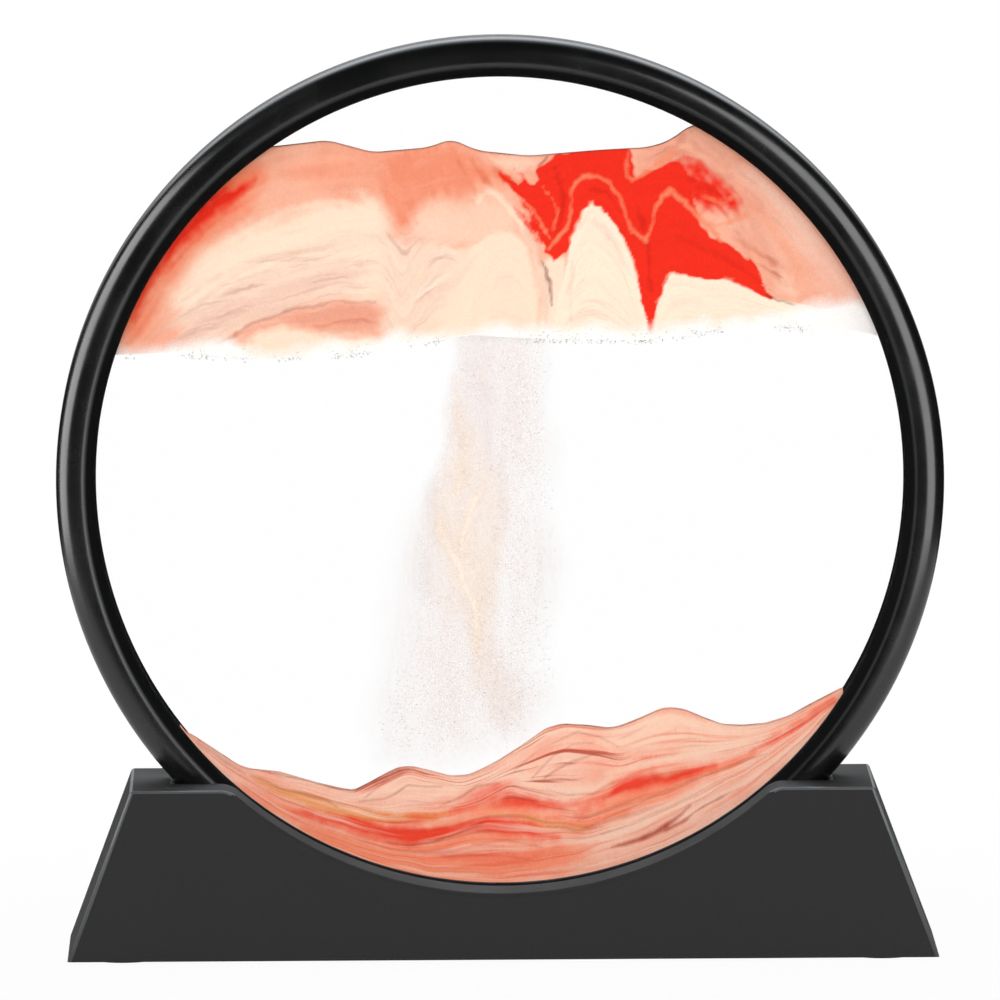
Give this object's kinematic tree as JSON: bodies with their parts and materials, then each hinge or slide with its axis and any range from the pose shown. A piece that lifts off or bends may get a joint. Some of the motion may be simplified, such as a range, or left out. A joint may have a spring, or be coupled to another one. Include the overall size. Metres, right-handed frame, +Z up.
{
  "type": "moving sand art frame",
  "caption": "Round black ring holding a sealed glass cell of coloured sand and clear liquid, which turns in and lifts out of a slotted trapezoid base.",
  "frame": {"origin": "on the table, under the middle of the base", "axes": "+Z up, +Y from the front of the ring to the back, +X to the right as seen from the front"},
  "size_m": [0.18, 0.054, 0.1859],
  "materials": {
    "ring_abs": "satin",
    "base_abs": "satin",
    "pane_glass": "polished",
    "clear_liquid": "polished",
    "black_rubber": "matte",
    "foot_rubber": "matte",
    "screw_steel": "satin",
    "cream_sand": "matte",
    "peach_sand": "matte",
    "salmon_sand": "matte",
    "red_sand": "matte"
  },
  "bodies": {
    "base": {"base_shell": "base_abs", "base_plate": "base_abs", "foot_front_left": "foot_rubber", "foot_front_right": "foot_rubber", "foot_rear_left": "foot_rubber", "foot_rear_right": "foot_rubber", "plate_screw_front_left": "screw_steel", "plate_screw_front_right": "screw_steel", "plate_screw_rear_left": "screw_steel", "plate_screw_rear_right": "screw_steel"},
    "glazing": {"front_glass": "pane_glass", "rear_glass": "pane_glass"},
    "frame": {"front_bezel": "ring_abs", "rear_bezel": "ring_abs", "cell_spacer": "black_rubber", "front_gasket": "black_rubber", "rear_gasket": "black_rubber", "fill_plug": "black_rubber", "upper_sand_red": "red_sand", "upper_sand_cream": "cream_sand", "upper_sand_peach_left": "peach_sand", "upper_sand_peach_right": "peach_sand", "lower_sand_salmon": "salmon_sand", "lower_sand_red": "red_sand", "lower_sand_peach": "peach_sand", "bubble_layer": "clear_liquid", "falling_sand": "cream_sand", "liquid_above": "clear_liquid", "liquid_left": "clear_liquid", "liquid_right": "clear_liquid"}
  },
  "joints": [
    {"name": "frame_lift", "type": "slide", "parent": "base", "child": "glazing", "axis": [0, 0, 1], "range_m": [0, 0.04]},
    {"name": "frame_turn", "type": "hinge", "parent": "glazing", "child": "frame", "pos_m": [0, 0, 0.0959], "axis": [0, 1, 0], "continuous": true}
  ]
}
